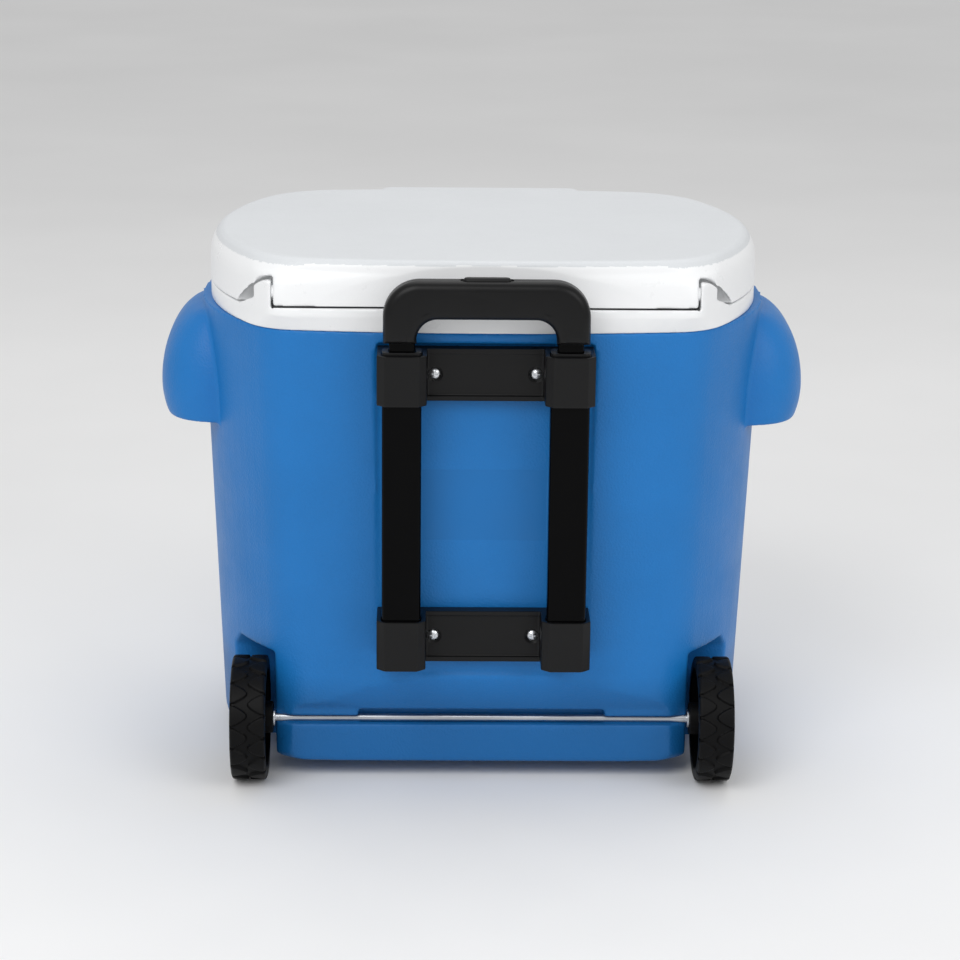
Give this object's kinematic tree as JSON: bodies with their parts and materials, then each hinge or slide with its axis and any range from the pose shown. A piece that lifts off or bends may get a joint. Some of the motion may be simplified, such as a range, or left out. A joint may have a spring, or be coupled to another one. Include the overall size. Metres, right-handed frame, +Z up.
{
  "type": "wheeled cooler chest",
  "caption": "Insulated cooler chest on wheels with a telescoping tow handle, a hinged white lid, moulded side grips and a drain.",
  "frame": {"origin": "middle of the footprint's box, on the floor", "axes": "+X to the right seen from the handle side, +Y from the handle side to the front, +Z up"},
  "size_m": [0.6558, 0.466, 0.535],
  "materials": {
    "shell_blue": "fine pebble grain, satin polyethylene",
    "foam": "rigid polyurethane foam",
    "liner_white": "smooth semi-gloss polyethylene",
    "lid_white": "fine leather grain on top, smooth skirt",
    "bracket_black": "satin moulded plastic",
    "grip_black": "satin soft-touch plastic",
    "button_black": "satin plastic",
    "tube_black": "gloss black coated steel",
    "screw_zinc": "zinc plated",
    "axle_steel": "drawn bright steel",
    "wheel_black": "moulded polypropylene with tread lugs",
    "drain_white": "moulded polyethylene",
    "seal_rubber": "black rubber"
  },
  "bodies": {
    "chest": {"outer_shell": "shell_blue", "insulation_foam": "foam", "inner_liner": "liner_white", "upper_bracket": "bracket_black", "lower_bracket": "bracket_black", "upper_bracket_screws": "screw_zinc", "lower_bracket_screws": "screw_zinc", "outer_tube_left": "tube_black", "outer_tube_right": "tube_black", "tube_bush_left": "bracket_black", "tube_bush_right": "bracket_black", "hinge_pin_left": "liner_white", "hinge_pin_right": "liner_white", "axle": "axle_steel", "axle_washers": "screw_zinc", "axle_push_nuts": "screw_zinc", "drain_spout": "drain_white", "drain_gasket": "seal_rubber", "drain_nut": "drain_white"},
    "lid": {"lid_top": "lid_white", "lid_foam": "foam", "lid_inner_panel": "liner_white"},
    "tow_handle": {"grip_front": "grip_black", "grip_rear": "grip_black", "grip_screws": "screw_zinc", "inner_tube_left": "tube_black", "inner_tube_right": "tube_black", "guide_block_left": "bracket_black", "guide_block_right": "bracket_black", "release_spring": "axle_steel"},
    "release": {"release_button": "button_black", "release_yoke": "bracket_black", "release_rod_left": "axle_steel", "release_rod_right": "axle_steel"},
    "lock_left": {"lock_pin_left": "axle_steel"},
    "lock_right": {"lock_pin_right": "axle_steel"},
    "left_wheel": {"wheel_left": "wheel_black", "hub_cap_left": "bracket_black"},
    "right_wheel": {"wheel_right": "wheel_black", "hub_cap_right": "bracket_black"},
    "drain_stopper": {"drain_plug": "drain_white", "drain_plug_seal": "seal_rubber"}
  },
  "joints": [
    {"name": "lid_hinge", "type": "hinge", "parent": "chest", "child": "lid", "pos_m": [0, -0.166, 0.5025], "axis": [1, 0, 0], "range_deg": [0, 90]},
    {"name": "handle_slide", "type": "slide", "parent": "chest", "child": "tow_handle", "axis": [0, 0, 1], "range_m": [0, 0.26]},
    {"name": "button_press", "type": "slide", "parent": "tow_handle", "child": "release", "axis": [0, 0, -1], "range_m": [0, 0.004], "stiffness_N_per_m": 900, "springref_m": -0.002, "deforming": ["release_spring"]},
    {"name": "lock_left_slide", "type": "slide", "parent": "tow_handle", "child": "lock_left", "axis": [1, 0, 0], "range_m": [0, 0.004]},
    {"name": "lock_right_slide", "type": "slide", "parent": "tow_handle", "child": "lock_right", "axis": [-1, 0, 0], "range_m": [0, 0.004]},
    {"name": "left_wheel_spin", "type": "hinge", "parent": "chest", "child": "left_wheel", "pos_m": [-0.2325, -0.156, 0.0625], "axis": [1, 0, 0], "continuous": true},
    {"name": "right_wheel_spin", "type": "hinge", "parent": "chest", "child": "right_wheel", "pos_m": [0.2325, -0.156, 0.0625], "axis": [1, 0, 0], "continuous": true},
    {"name": "drain_plug_pull", "type": "slide", "parent": "chest", "child": "drain_stopper", "axis": [0, 1, 0], "range_m": [0, 0.03]}
  ],
  "couplings": [
    {"joint": "lock_left_slide", "follows": "button_press", "ratio": 1},
    {"joint": "lock_right_slide", "follows": "button_press", "ratio": 1}
  ]
}
